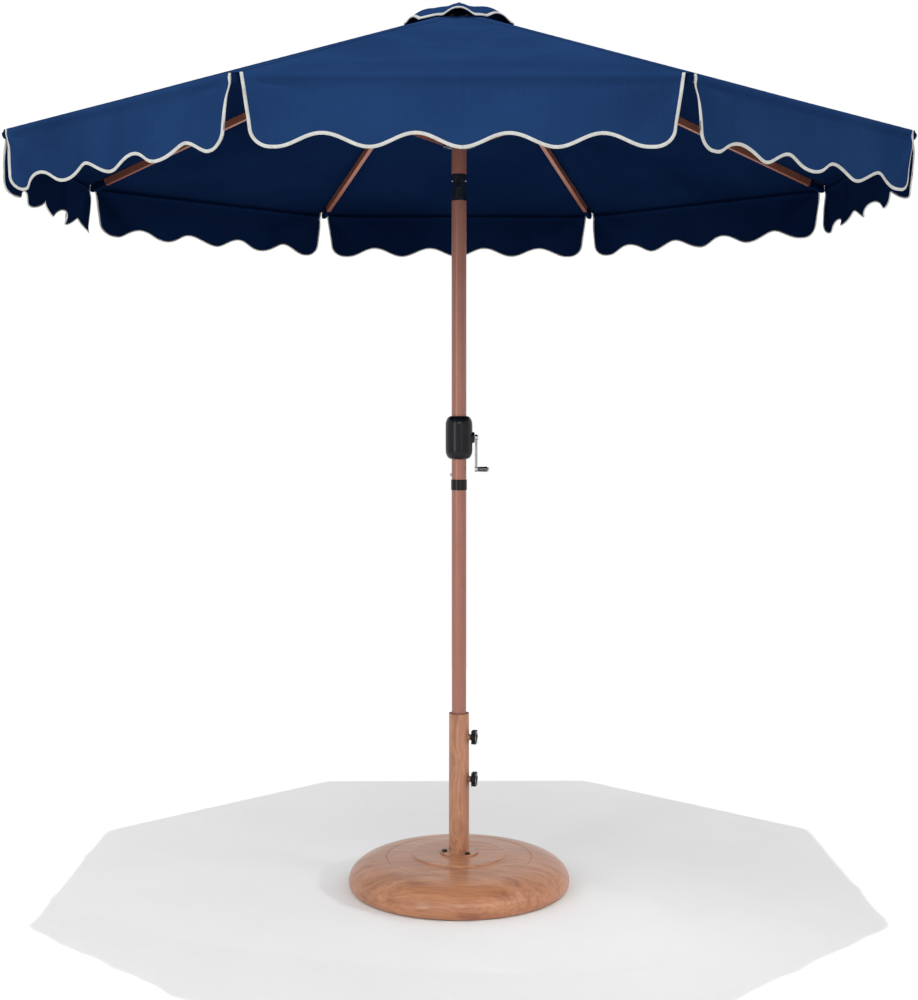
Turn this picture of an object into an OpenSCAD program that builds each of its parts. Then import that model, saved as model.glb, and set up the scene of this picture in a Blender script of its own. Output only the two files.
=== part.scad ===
// Octagonal crank-and-tilt patio umbrella standing in a round weighted base.
// Millimetres, +Z up, origin on the floor under the middle of the base.
// The crank is on +X. Rib k stands at 22.5 + 45 (k - 1) degrees, so one panel faces -Y.

/* [Canopy] */
// Radius of the open canopy at the rib tips
canopy_r = 1118; // [1110:1:1130]
// Height of the rim at the rib tips
rim_z = 1874.5; // [1870:0.5:1880]
// Fall of the ribs for each millimetre of radius
rib_fall = 0.335; // [0.33:0.001:0.34]
// Radius of the vent hole in the canopy, along a rib
vent_hole_r = 100; // [90:1:105]
// Radius of the vent cap at its corners
vent_cap_r = 147; // [140:1:150]
// Height of the vent cap's peak
peak_z = 2272; // [2270:1:2276]
// Thickness of the canopy cloth's solids
cloth_t = 1.2; // [1:0.1:1.4]
// Mean drop of the valance below the rim
valance_drop = 128; // [120:1:136]
// Half the height of a scallop
scallop_amp = 13; // [8:1:16]
// Width of one scallop
scallop_w = 176; // [172:1:180]

/* [Ribs and struts] */
// Height of the rib hinges in the hub
hinge_z = 2226; // [2225:0.5:2226.5]
// Distance of the rib and strut hinges from the mast's axis
hinge_r = 34; // [34:0.1:34.4]
// Width of a rib
rib_w = 12; // [11:0.5:13]
// Height of a rib
rib_h = 18; // [17:0.5:18]
// Distance along a rib from its hinge to the strut's saddle
strut_at = 430; // [420:1:435]
// Distance of the strut's pivot below the rib's middle
pivot_drop = 18; // [18:0.5:19]

/* [Mast] */
// Radius of the mast tubes
mast_r = 19; // [19:0.1:19]
// Wall of the mast tubes
mast_wall = 1.45; // [1.3:0.05:1.45]
// Top of the lower mast tube
lower_top_z = 1048.8; // [1045:0.1:1050]
// Height of the snap button
snap_z = 1076; // [1074:1:1080]
// Height of the crank's axis
crank_z = 1171.5; // [1168:0.5:1175]
// Height of the tilt joint's axis
tilt_z = 1807; // [1800:1:1810]
// Half the length of the tilt joint's black body
tilt_half = 33.4; // [32:0.2:35]

/* [Crank] */
// Radius of the crank housing
housing_r = 34.6; // [33:0.2:36]
// Height of the crank housing
housing_h = 110.5; // [106:0.5:116]
// Distance from the crank's axis to the grip's axis
crank_arm_l = 81.5; // [75:0.5:85]
// Radius of the wound cord's middle on the spool
spool_cord_r = 11; // [11:0.1:11.2]

/* [Base] */
// Radius of the base
base_r = 287.5; // [280:0.5:295]
// Height of the base's top plate
base_h = 90; // [88:1:92]
// Radius of the raised top plate
plate_r = 123; // [118:1:128]
// Radius of the fine ring groove
groove_r = 189; // [180:1:195]
// Outer radius of the stem
stem_r = 26.5; // [26:0.1:27]
// Top of the stem
stem_top = 457; // [450:1:465]
// Turn of the clamp knobs from +X
knob_turn = -12; // [-20:1:0]
// Heights of the clamp knobs
knob_upper_z = 395; // [390:1:400]
// Height of the lower clamp knob
knob_lower_z = 285; // [280:1:290]

/* [Hidden] */
$fn = 64;
SIDES = 8;
STEP = 360 / SIDES;
HALF = STEP / 2;
eps = 0.01;
cord_r = 1.5;

// Slopes: along a rib, and along the middle of a panel
rib_tilt = atan(rib_fall);
panel_fall = rib_fall / cos(HALF);
panel_tilt = atan(panel_fall);
apex_z = rim_z + rib_fall * canopy_r;
rim_mid = canopy_r * cos(HALF);
rib_l = (canopy_r - hinge_r) / cos(rib_tilt);

// Hinge to strut pivot, which is also the strut's length: the linkage is isosceles
link_l = sqrt(pow(strut_at, 2) + pow(pivot_drop, 2));
open_angle = rib_tilt + atan(pivot_drop / strut_at);
runner_z = hinge_z - 2 * link_l * sin(open_angle);

mast_in = mast_r - mast_wall;
plug_r = mast_in - 0.15;
foot_z = base_h + 4.2;
foot_flange_h = 4;
collar_r = 20.5;
web_h = 2;
upper_z0 = lower_top_z + web_h + 0.4;
tilt_z0 = tilt_z - tilt_half;
tilt_z1 = tilt_z + tilt_half;
ear_r = 16;
ear_in = 10;
ear_gap = 0.5;
channel = 5;
rib_tongue_w = 6;
strut_w = 9;
strut_h = 13;
hub_pole_top = 2180;
sheave_y = 12;
sheave_z = 2200;

function azimuth(k) = HALF + STEP * (k - 1);
function arc(cx, cy, rx, ry, a0, a1, n) =
    [for (i = [0 : n]) let (a = a0 + (a1 - a0) * i / n) [cx + rx * cos(a), cy + ry * sin(a)]];

module tube(r_out, r_in, z0, z1) {
    translate([0, 0, z0])
        difference() {
            cylinder(r = r_out, h = z1 - z0);
            translate([0, 0, -1]) cylinder(r = r_in, h = z1 - z0 + 2);
        }
}

// A cylinder along +X from x0 to x1
module rod_x(r, x0, x1) {
    translate([x0, 0, 0]) rotate([0, 90, 0]) cylinder(r = r, h = x1 - x0);
}

// A cylinder along +Y from y0 to y1
module rod_y(r, y0, y1) {
    translate([0, y0, 0]) rotate([-90, 0, 0]) cylinder(r = r, h = y1 - y0);
}

// ---------------------------------------------------------------- base

rim_z0 = 22;
shoulder_z = 80;
shell_t = 3;
bolt_ring = 38;
bolt_turn = -55;
nut_pocket_h = 32;
ballast_h = 36;

function dome(inset) = concat(
    [[base_r - 15.5, 1]],
    arc(base_r - 12.5, rim_z0, 12.5 - inset, rim_z0 - 1 - inset * 0.3, -80, 0, 6),
    arc(groove_r, rim_z0, base_r - groove_r - inset, shoulder_z - rim_z0 - inset, 6, 86, 12)
);

module base_shell() {
    color("peru")
        difference() {
            rotate_extrude($fn = 128)
                polygon(concat(
                    dome(0),
                    [[groove_r + 1, shoulder_z], [groove_r, shoulder_z - 1.2], [groove_r - 1, shoulder_z]],
                    [[plate_r + 3, base_h - 5], [plate_r + 0.6, base_h - 4.4], [plate_r, base_h - 3],
                     [plate_r - 0.8, base_h - 0.8], [plate_r - 3, base_h]],
                    [[0, base_h], [0, base_h - shell_t], [plate_r - 6, base_h - shell_t]],
                    [[groove_r, shoulder_z - shell_t - 1]],
                    [for (i = [len(dome(shell_t)) - 1 : -1 : 1]) dome(shell_t)[i]],
                    [[base_r - 15.5 - shell_t, 1]]
                ));
            bolt_holes(4.6, 0, base_h + 1);
        }
}

module bolt_holes(r, z0, z1) {
    for (i = [0 : 2])
        rotate([0, 0, bolt_turn + 120 * i])
            translate([bolt_ring, 0, z0]) cylinder(r = r, h = z1 - z0);
}

module base_weight() {
    color("gray")
        difference() {
            union() {
                cylinder(r = base_r - 19.5, h = ballast_h, $fn = 128);
                cylinder(r = 60, h = base_h - shell_t - 0.5);
            }
            bolt_holes(4.6, -1, base_h);
            bolt_holes(11, -1, nut_pocket_h);
        }
}

module at_knob(z) {
    translate([0, 0, z]) rotate([0, 0, knob_turn]) children();
}

boss_out = stem_r + 4;

module base_stem() {
    color("peru")
        difference() {
            union() {
                translate([0, 0, base_h]) cylinder(r = 50, h = 4);
                tube(stem_r, stem_r - 1.5, base_h + 4 - eps, stem_top);
                difference() {
                    translate([0, 0, base_h + 4 - eps]) cylinder(r1 = stem_r + 3, r2 = stem_r - 0.2, h = 3.2);
                    translate([0, 0, base_h + 3]) cylinder(r = stem_r - 1.5, h = 6);
                }
                for (z = [knob_upper_z, knob_lower_z])
                    at_knob(z) rod_x(8, stem_r - 1.2, boss_out);
            }
            bolt_holes(4.6, base_h - 1, base_h + 5);
            for (z = [knob_upper_z, knob_lower_z])
                at_knob(z) rod_x(4.08, stem_r - 4, boss_out + 1);
        }
}

module base_bolts() {
    color("dimgray")
        for (i = [0 : 2])
            rotate([0, 0, bolt_turn + 120 * i])
                translate([bolt_ring, 0, 0]) {
                    translate([0, 0, base_h + 4]) cylinder(r = 8, h = 1.2);
                    translate([0, 0, base_h + 5]) cylinder(r1 = 7, r2 = 4.6, h = 3.6);
                    translate([0, 0, 20]) cylinder(r = 4, h = base_h - 14);
                    difference() {
                        translate([0, 0, 24]) cylinder(r = 7.5, h = 6.5, $fn = 6);
                        translate([0, 0, 23]) cylinder(r = 4.05, h = 9);
                    }
                }
}

module stem_sleeve() {
    color("black")
        tube(stem_r - 1.6, mast_r + 0.3, stem_top - 32, stem_top - 2);
}

// Star knob and its M8 stud along +X, before at_knob() places them
knob_in = boss_out + 1;
knob_out = knob_in + 15;

module clamp_knob() {
    difference() {
        union() {
            rod_x(7, knob_in, knob_in + 4);
            rod_x(14.6, knob_in + 3, knob_out);
            for (i = [0 : 5])
                rotate([60 * i, 0, 0]) translate([0, 14.6, 0]) rod_x(5.2, knob_in + 3, knob_out);
        }
        rod_x(9, knob_out - 1.6, knob_out + 1);
        rod_x(4.06, knob_in - 1, knob_in + 10);
        for (i = [0 : 5])
            rotate([60 * i + 30, 0, 0]) translate([0, 19.8, 0]) rod_x(4.4, knob_in, knob_out + 1);
    }
}

module clamp_stud() {
    rod_x(4, mast_r + 0.15, knob_in + 9.5);
}

module clamp_knob_upper() { color("black") at_knob(knob_upper_z) clamp_knob(); }
module clamp_knob_lower() { color("black") at_knob(knob_lower_z) clamp_knob(); }
module clamp_stud_upper() { color("silver") at_knob(knob_upper_z) clamp_stud(); }
module clamp_stud_lower() { color("silver") at_knob(knob_lower_z) clamp_stud(); }

// ---------------------------------------------------------------- mast

module pole_foot_cap() {
    color("black") {
        translate([0, 0, foot_z]) cylinder(r = mast_r - 0.1, h = foot_flange_h);
        translate([0, 0, foot_z + foot_flange_h - eps]) cylinder(r = mast_in - 0.08, h = 22);
    }
}

spigot_z0 = 950;
spigot_z1 = 1146;

module lower_pole() {
    color("rosybrown") {
        tube(mast_r, mast_in, foot_z + foot_flange_h + 0.1, lower_top_z);
        difference() {
            tube(mast_in - 0.1, mast_in - 1.5, spigot_z0, spigot_z1);
            translate([0, 0, snap_z]) rod_x(3.5, -mast_r, -10);
        }
    }
}

module pole_collar() {
    color("black")
        translate([0, 0, lower_top_z - 12.2])
            difference() {
                union() {
                    cylinder(r1 = collar_r - 0.6, r2 = collar_r, h = 1);
                    translate([0, 0, 1 - eps]) cylinder(r = collar_r, h = 25.2);
                    translate([0, 0, 26.2 - 2 * eps]) cylinder(r1 = collar_r, r2 = collar_r - 0.6, h = 1);
                }
                translate([0, 0, -1]) cylinder(r = mast_r + 0.1, h = 13.3);
                translate([0, 0, 12.3 + web_h]) cylinder(r = mast_r + 0.1, h = 20);
                translate([0, 0, -2]) cylinder(r = plug_r + 0.2, h = 40);
            }
}

// One-piece snap button: the pin and its U-shaped leaf spring inside the spigot
module snap_button() {
    color("silver")
        translate([0, 0, snap_z]) {
            rod_x(3.2, -22.8, -13);
            rod_x(2.4, -23.6, -22.7);
            translate([-13.1, -4, -30]) cube([0.9, 8, 36]);
            translate([-2.6, 0, -30])
                rotate([90, 0, 0])
                    intersection() {
                        difference() {
                            cylinder(r = 10.5, h = 8, center = true);
                            cylinder(r = 9.6, h = 9, center = true);
                        }
                        translate([-12, -12, -5]) cube([24, 12 + eps, 10]);
                    }
            translate([7, -4, -30]) cube([0.9, 8, 24]);
        }
}

module upper_pole() {
    color("rosybrown")
        difference() {
            tube(mast_r, mast_in, upper_z0, tilt_z0 - 0.2);
            translate([0, 0, snap_z]) rod_x(3.6, -mast_r - 1, -10);
            translate([0, 0, crank_z]) rod_x(5, -mast_r - 1, mast_r + 1);
        }
}

// ---------------------------------------------------------------- crank

shoulder_h = 24;
housing_wall = 2.6;
boss_r = 15;
boss_x = 40;

function housing_profile(r, h, r_end) = concat(
    [[r_end, -h / 2]],
    arc(r - (r - r_end) * 0.98, -h / 2 + shoulder_h, (r - r_end) * 0.98, shoulder_h, -86, 0, 8),
    arc(r - (r - r_end) * 0.98, h / 2 - shoulder_h, (r - r_end) * 0.98, shoulder_h, 0, 86, 8),
    [[r_end, h / 2]]
);

module housing_solid() {
    difference() {
        union() {
            rotate_extrude() polygon(concat([[0, -housing_h / 2]],
                housing_profile(housing_r, housing_h, mast_r + 1.2), [[0, housing_h / 2]]));
            translate([housing_r - 6, 0, 0]) rotate([0, 90, 0])
                cylinder(r1 = boss_r + 2, r2 = boss_r - 2, h = boss_x - housing_r + 6);
        }
        difference() {
            rotate_extrude() polygon(concat([[0, -housing_h / 2 + housing_wall]],
                housing_profile(housing_r - housing_wall, housing_h - 2 * housing_wall, mast_r + 0.6),
                [[0, housing_h / 2 - housing_wall]]));
            // bearing bosses for the spool's shaft, and the screw pillars
            rod_x(8, -housing_r + 1, -24);
            rod_x(11, 30, housing_r);
            for (x = [-25.5, 25.5], z = [-27, 27])
                translate([x, 0, z]) rod_y(4.2, -20, 20);
        }
        translate([0, 0, -housing_h]) cylinder(r = mast_r + 0.1, h = 2 * housing_h);
        rod_x(4.1, -31, boss_x + 1);
        for (z = [-1, 1])
            translate([0, 0, z * (housing_h / 2 - shoulder_h)])
                difference() {
                    cylinder(r = housing_r + 1, h = 1.2, center = true);
                    cylinder(r = housing_r - 0.5, h = 2, center = true);
                }
        for (x = [-25.5, 25.5], z = [-27, 27])
            translate([x, 0, z]) {
                rod_y(1.6, -12, 30);
                rod_y(3.4, 16, 40);
            }
    }
}

module housing_front() {
    color([0.1, 0.1, 0.11])
        translate([0, 0, crank_z])
            intersection() {
                housing_solid();
                translate([-100, -100.05, -100]) cube([200, 100, 200]);
            }
}

module housing_back() {
    color([0.1, 0.1, 0.11])
        translate([0, 0, crank_z])
            intersection() {
                housing_solid();
                translate([-100, 0.05, -100]) cube([200, 100, 200]);
            }
}

module housing_screws() {
    color("dimgray")
        for (x = [-25.5, 25.5], z = [-27, 27])
            translate([x, 0, crank_z + z]) {
                rod_y(1.5, -10, 16.2);
                difference() {
                    rod_y(3.2, 16.1, 18.6);
                    translate([-0.5, 17.8, -4]) cube([1, 2, 8]);
                }
            }
}

drum_r = 8;
brake_x = [22, 23.9, 25.8];

module cord_spool() {
    color("gainsboro")
        translate([0, 0, crank_z]) {
            rod_x(4, -30.5, boss_x + 0.5);
            rod_x(spool_cord_r - cord_r - 0.1, -7, 7);
            for (x = [-8.5, 7]) rod_x(14, x, x + 1.5);
            rod_x(drum_r, 20.4, 27.4);
        }
}

// Wrap spring gripping the spool's drum, with its tang resting in the housing
module brake_spring() {
    color("silver")
        translate([0, 0, crank_z]) {
            for (x = brake_x)
                translate([x, 0, 0]) rotate([0, 90, 0])
                    rotate_extrude() translate([drum_r + 1.1, 0]) circle(r = 1, $fn = 24);
            translate([brake_x[1], 0, drum_r + 0.6]) cylinder(r = 0.9, h = 12, $fn = 24);
        }
}

module crank_arm() {
    color("silver")
        translate([0, 0, crank_z]) {
            rod_x(8, boss_x + 0.6, boss_x + 7.5);
            rod_x(5, boss_x + 7.4, boss_x + 9.5);
            translate([boss_x + 0.8, -4.5, -crank_arm_l]) cube([6.6, 9, crank_arm_l]);
            translate([0, 0, -crank_arm_l]) {
                rod_x(6.8, boss_x + 0.6, boss_x + 7.5);
                rod_x(3, boss_x + 7, boss_x + 36);
                rod_x(4.4, boss_x + 35, boss_x + 37);
            }
        }
}

module crank_grip() {
    color("silver")
        translate([boss_x + 8, 0, crank_z - crank_arm_l])
            rotate([0, 90, 0])
                rotate_extrude()
                    polygon(concat([[3.1, 0], [5.6, 0]], arc(5.6, 4, 0.6, 4, -60, 0, 3),
                        [[6.8, 20]], arc(4.8, 22, 2, 4, 0, 80, 4), [[3.1, 26.2]]));
}

// ---------------------------------------------------------------- tilt joint

module ears(y0, y1, dir) {
    for (s = [-1, 1])
        intersection() {
            cylinder(r = mast_r, h = 200, center = true);
            union() {
                rod_y(ear_r, min(s * y0, s * y1), max(s * y0, s * y1));
                translate([-ear_r, min(s * y0, s * y1), dir > 0 ? 0 : -ear_r - 3])
                    cube([2 * ear_r, y1 - y0, ear_r + 3]);
            }
        }
}

module tilt_yoke() {
    body_top = -ear_r - ear_gap;
    color([0.08, 0.08, 0.09])
        translate([0, 0, tilt_z])
            difference() {
                union() {
                    translate([0, 0, -tilt_half]) cylinder(r = mast_r, h = tilt_half + body_top);
                    translate([0, 0, -tilt_half - 24]) cylinder(r = plug_r, h = 24 + eps);
                    ears(ear_in, mast_r, -1);
                }
                translate([0, 0, -80]) cylinder(r = channel, h = 120);
                rod_y(7.3, -30, -15);
                rod_y(5.2, -20, -11);
                rod_y(6.7, -12.5, -9);
                rod_y(3.05, 9, 30);
            }
}

module tilt_pin() {
    color("silver")
        translate([0, 0, tilt_z]) {
            rod_y(3, 5.3, mast_r + 0.1);
            difference() {
                rod_y(4.6, mast_r + 0.05, mast_r + 1.6);
                rod_y(1.2, mast_r + 1, mast_r + 3);
            }
        }
}

module tilt_button() {
    color([0.1, 0.1, 0.11])
        translate([0, 0, tilt_z]) {
            rod_y(7, -21.6, -18.2);
            rod_y(5.8, -22.2, -21.5);
            rod_y(5, -18.3, -12.2);
            rotate([90, 0, 0]) translate([0, 0, 9])
                linear_extrude(3.3)
                    polygon([for (i = [0 : 23])
                        let (a = 15 * i, r = i % 2 == 0 ? 6.5 : 5.4) [r * cos(a), r * sin(a)]]);
        }
}

// Wave spring behind the button
module tilt_spring() {
    color("silver")
        translate([0, 0, tilt_z])
            for (y = [-8.6, -7.95, -7.3, -6.65])
                translate([0, y, 0]) rotate([90, 0, 0])
                    rotate_extrude() translate([4.6, 0]) circle(r = 0.36, $fn = 16);
}

module tilt_tongue() {
    body_z0 = ear_r + ear_gap;
    color([0.08, 0.08, 0.09])
        translate([0, 0, tilt_z])
            difference() {
                union() {
                    translate([0, 0, body_z0]) cylinder(r = mast_r, h = tilt_half - body_z0);
                    translate([0, 0, tilt_half - eps]) cylinder(r = plug_r, h = 24);
                    ears(channel, ear_in - 0.2, 1);
                }
                translate([0, 0, -20]) cylinder(r = channel, h = 100);
                rod_y(6.7, -11, -6.2);
                rod_y(3.05, 0, 12);
            }
}

// ---------------------------------------------------------------- lift cord

module lift_cord_lower() {
    run = tilt_z - crank_z - 0.2;
    color("white") {
        translate([0, -spool_cord_r, crank_z])
            rotate([-atan(spool_cord_r / run), 0, 0])
                cylinder(r = cord_r, h = sqrt(pow(run, 2) + pow(spool_cord_r, 2)) - 1, $fn = 24);
        for (x = [-4.6, 0, 4.6])
            translate([x, 0, crank_z]) rotate([0, 90, 0])
                rotate_extrude() translate([spool_cord_r, 0]) circle(r = cord_r, $fn = 24);
    }
}

module lift_cord_upper() {
    color("white") {
        translate([0, 0, tilt_z + 0.5]) cylinder(r = cord_r, h = sheave_z - tilt_z - 0.5, $fn = 24);
        translate([0, sheave_y, sheave_z]) rotate([90, 0, 90])
            rotate_extrude(angle = 180) translate([sheave_y, 0]) circle(r = cord_r, $fn = 24);
        translate([0, 2 * sheave_y, runner_z + 10])
            cylinder(r = cord_r, h = sheave_z - runner_z - 10, $fn = 24);
    }
}

// ---------------------------------------------------------------- head

module top_pole() {
    color("rosybrown")
        tube(mast_r, mast_in, tilt_z1 + 0.2, hub_pole_top);
}

module slots(w, r0, z0, z1) {
    for (k = [1 : SIDES])
        rotate([0, 0, azimuth(k)])
            translate([r0, -w / 2, z0]) cube([40, w, z1 - z0]);
}

module top_hub() {
    hub_r = 40;
    color([0.08, 0.08, 0.09])
        difference() {
            union() {
                translate([0, 0, hinge_z - 12]) cylinder(r = hub_r, h = 24);
                translate([0, 0, hub_pole_top - 18]) cylinder(r = 24, h = hinge_z - hub_pole_top + 8);
                translate([0, 0, hinge_z + 11]) cylinder(r1 = 24, r2 = 9, h = 8);
                translate([0, 0, hinge_z + 18]) cylinder(r1 = 9, r2 = 7, h = 18);
            }
            slots(rib_tongue_w + 1, 24.5, hinge_z - 20, hinge_z + 20);
            translate([0, 0, hub_pole_top - 19]) cylinder(r = mast_r + 0.1, h = 19.1);
            translate([0, 0, hub_pole_top - 1]) cylinder(r = channel, h = 22);
            translate([-4.2, -2.5, sheave_z - 15]) cube([8.4, 50, 30]);
            translate([-3, 19.5, hub_pole_top - 19]) cube([6, 20, 30]);
            hub_axles(0.02);
        }
}

// The ribs' hinge pins and the pulley's axle
module hub_axles(gap) {
    for (k = [1 : SIDES])
        rotate([0, 0, azimuth(k)]) translate([hinge_r, 0, hinge_z]) rod_y(1.5 + gap, -8 - gap, 8 + gap);
    translate([0, sheave_y, sheave_z]) rod_x(2 + gap, -8 - gap, 8 + gap);
}

module hub_pins() {
    color("silver") hub_axles(0);
}

module hub_pulley() {
    color("white")
        translate([0, sheave_y, sheave_z]) rotate([0, 90, 0])
            rotate_extrude()
                polygon([[2.1, -3.4], [13.6, -3.4], [13.6, -2.6], [10.4, -1.2],
                    [10.4, 1.2], [13.6, 2.6], [13.6, 3.4], [2.1, 3.4]]);
}

module vent_cap() {
    corner_z = apex_z - rib_fall * vent_cap_r + 6;
    color("navy")
        rotate([0, 0, HALF])
            difference() {
                translate([0, 0, corner_z])
                    cylinder(r1 = vent_cap_r, r2 = 1.5, h = peak_z - corner_z, $fn = SIDES);
                translate([0, 0, corner_z - 2 * cloth_t])
                    cylinder(r1 = vent_cap_r + 1.5, r2 = 1.5, h = peak_z - corner_z, $fn = SIDES);
            }
}

module runner() {
    core_r = 27;
    color([0.08, 0.08, 0.09])
        translate([0, 0, runner_z])
            difference() {
                union() {
                    translate([0, 0, -12]) cylinder(r = core_r, h = 34);
                    translate([0, 0, -9]) cylinder(r = 40, h = 18);
                    translate([0, 0, 9 - eps]) cylinder(r1 = 33, r2 = core_r, h = 6);
                }
                translate([0, 0, -20]) cylinder(r = mast_r + 0.6, h = 60);
                slots(strut_w + 0.6, 27.2, -20, 20);
                for (k = [1 : SIDES])
                    rotate([0, 0, azimuth(k)])
                        translate([hinge_r - 1.8, -8, -20]) cube([3.6, 16, 21.8]);
                translate([-8.2, -23.4, -20]) cube([16.4, 20, 60]);
                translate([-5.6, 3, -20]) cube([11.2, 18.4, 60]);
                translate([0, 2 * sheave_y, 9.5]) cylinder(r = cord_r + 0.15, h = 20, $fn = 24);
            }
}

// ---------------------------------------------------------------- ribs and struts

saddle_l = 30;

// Local frame: the hinge is the origin and +X runs along the rib
module rib_local() {
    tip = rib_l;
    color("sienna") {
        difference() {
            union() {
                translate([16, -rib_w / 2, -rib_h / 2]) cube([tip - 30, rib_w, rib_h]);
                translate([0, -rib_tongue_w / 2, -6]) cube([20, rib_tongue_w, 12]);
                rod_y(6, -rib_tongue_w / 2, rib_tongue_w / 2);
            }
            translate([22, -rib_w / 2 + 1.4, -rib_h / 2 + 1.4]) cube([tip, rib_w - 2.8, rib_h - 2.8]);
            rod_y(1.56, -4, 4);
        }
    }
    color([0.08, 0.08, 0.09]) {
        // saddle round the rib with the strut's lug
        translate([strut_at, 0, 0])
            difference() {
                union() {
                    translate([-saddle_l / 2, -rib_w / 2 - 2, -rib_h / 2 - 2.2])
                        cube([saddle_l, rib_w + 4, rib_h - 2]);
                    translate([-7, -2, -pivot_drop]) cube([14, 4, 10]);
                    translate([0, 0, -pivot_drop]) rod_y(7, -2, 2);
                }
                translate([-saddle_l, -rib_w / 2 - 0.1, -rib_h / 2 - 0.1])
                    cube([2 * saddle_l, rib_w + 0.2, rib_h]);
                translate([0, 0, -pivot_drop]) rod_y(2.06, -3, 3);
            }
        // tip cap with its round nose
        translate([tip - 40, 0, 0]) {
            translate([0, -rib_w / 2 + 1.6, -rib_h / 2 + 1.6]) cube([26.2, rib_w - 3.2, rib_h - 3.2]);
            translate([26.1 - eps, -rib_w / 2, -rib_h / 2]) cube([8, rib_w, rib_h - 1]);
            translate([33.9, 0, 0]) rod_x(5, 0, 6);
        }
    }
}

// Local frame: the runner's end is the origin and +X runs to the rib's pivot
module strut_local() {
    color("sienna")
        difference() {
            union() {
                translate([14, -strut_w / 2, -strut_h / 2]) cube([link_l - 40, strut_w, strut_h]);
                translate([0, -strut_w / 2, -5.5]) cube([16, strut_w, 11]);
                rod_y(5.5, -strut_w / 2, strut_w / 2);
                rod_y(1.5, -7, 7);
                translate([link_l - 30, -5.5, -5.2]) cube([30, 11, 10.4]);
                translate([link_l, 0, 0]) rod_y(5.2, -5.5, 5.5);
            }
            translate([26, -strut_w / 2 + 1.3, -strut_h / 2 + 1.3])
                cube([link_l - 62, strut_w - 2.6, strut_h - 2.6]);
            translate([link_l - 13, -2.4, -20]) cube([40, 4.8, 40]);
        }
    color("silver")
        translate([link_l, 0, 0]) rod_y(2, -5.4, 5.4);
}

module rib(k) {
    rotate([0, 0, azimuth(k)]) translate([hinge_r, 0, hinge_z]) rotate([0, rib_tilt, 0]) rib_local();
}

module strut(k) {
    rotate([0, 0, azimuth(k)]) translate([hinge_r, 0, runner_z]) rotate([0, -open_angle, 0]) strut_local();
}

// ---------------------------------------------------------------- cloth

seam = 0.25;
slit_top = 10;
slit_low = 30;
corner_arc = 42;

// Half a panel lying in its sloping plane: +X down the slope, +Y from the panel's middle to the rib
module half_panel() {
    m0 = vent_hole_r * cos(HALF);
    m1 = rim_mid - 3;
    translate([0, 0, -cloth_t])
        linear_extrude(cloth_t)
            polygon([[m0 / cos(panel_tilt), seam], [m1 / cos(panel_tilt), seam],
                [m1 / cos(panel_tilt), m1 * tan(HALF) - seam], [m0 / cos(panel_tilt), m0 * tan(HALF) - seam]]);
}

function hem(v) = -valance_drop - scallop_amp * cos(360 * v / scallop_w);

// Half a valance flap: X from the panel's middle to the slit, Y up
module half_flap() {
    corner = rim_mid * tan(HALF);
    low = corner - slit_low;
    polygon(concat(
        [[seam, -0.5], [corner - slit_top, -0.5]],
        [[low + 2, -valance_drop + corner_arc - 6]],
        arc(low - corner_arc, -valance_drop + corner_arc - 16, corner_arc, corner_arc - 3, -10, -66, 5),
        [for (v = [2 * scallop_w : -scallop_w / 12 : 1]) [v, hem(v)]],
        [[seam, hem(0)]]
    ));
}

module sides_of(k) {
    for (s = [-1, 1])
        rotate([0, 0, azimuth(k) + s * HALF]) mirror([0, s > 0 ? 1 : 0, 0]) children();
}

module canopy(k) {
    color("navy")
        sides_of(k) {
            translate([0, 0, apex_z]) rotate([0, panel_tilt, 0]) half_panel();
            translate([rim_mid - cloth_t, 0, rim_z]) rotate([90, 0, 90])
                linear_extrude(cloth_t) half_flap();
        }
}

// ---------------------------------------------------------------- assembly

base_shell();
base_weight();
base_stem();
base_bolts();
stem_sleeve();
clamp_knob_upper();
clamp_stud_upper();
clamp_knob_lower();
clamp_stud_lower();
pole_foot_cap();
lower_pole();
pole_collar();
snap_button();
upper_pole();
housing_front();
housing_back();
housing_screws();
cord_spool();
brake_spring();
crank_arm();
crank_grip();
tilt_yoke();
tilt_pin();
tilt_button();
tilt_spring();
lift_cord_lower();
tilt_tongue();
top_pole();
top_hub();
hub_pins();
hub_pulley();
lift_cord_upper();
vent_cap();
runner();
for (k = [1 : SIDES]) {
    rib(k);
    strut(k);
    canopy(k);
}
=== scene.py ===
"""Looks of the octagonal crank-and-tilt patio umbrella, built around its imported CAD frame."""

import math
import bpy
import numpy as np
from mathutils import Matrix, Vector, noise


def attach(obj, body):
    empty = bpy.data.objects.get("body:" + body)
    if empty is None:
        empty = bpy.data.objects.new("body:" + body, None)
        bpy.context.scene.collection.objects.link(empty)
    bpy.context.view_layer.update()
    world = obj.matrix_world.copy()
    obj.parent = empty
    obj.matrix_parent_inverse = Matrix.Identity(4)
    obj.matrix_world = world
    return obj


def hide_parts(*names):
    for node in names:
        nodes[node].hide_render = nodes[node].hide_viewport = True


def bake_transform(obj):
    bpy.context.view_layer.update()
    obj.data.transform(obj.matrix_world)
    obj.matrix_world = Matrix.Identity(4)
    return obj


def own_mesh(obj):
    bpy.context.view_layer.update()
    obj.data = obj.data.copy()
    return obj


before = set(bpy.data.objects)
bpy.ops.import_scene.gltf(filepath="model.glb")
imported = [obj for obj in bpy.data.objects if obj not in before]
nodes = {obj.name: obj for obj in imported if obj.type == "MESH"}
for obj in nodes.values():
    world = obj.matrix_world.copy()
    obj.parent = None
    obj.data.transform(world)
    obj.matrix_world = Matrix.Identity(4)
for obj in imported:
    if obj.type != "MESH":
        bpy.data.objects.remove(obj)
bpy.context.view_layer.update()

# Canopy lines in metres, the same as the CAD's: heights are above the floor, and the hem's below the rim.
# RIM_MID and VENT_MID are the distances from the axis to the middle of a side of the rim and of the vent.
SIDES = 8
HALF = math.radians(22.5)
TAN_HALF = math.tan(HALF)
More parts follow.
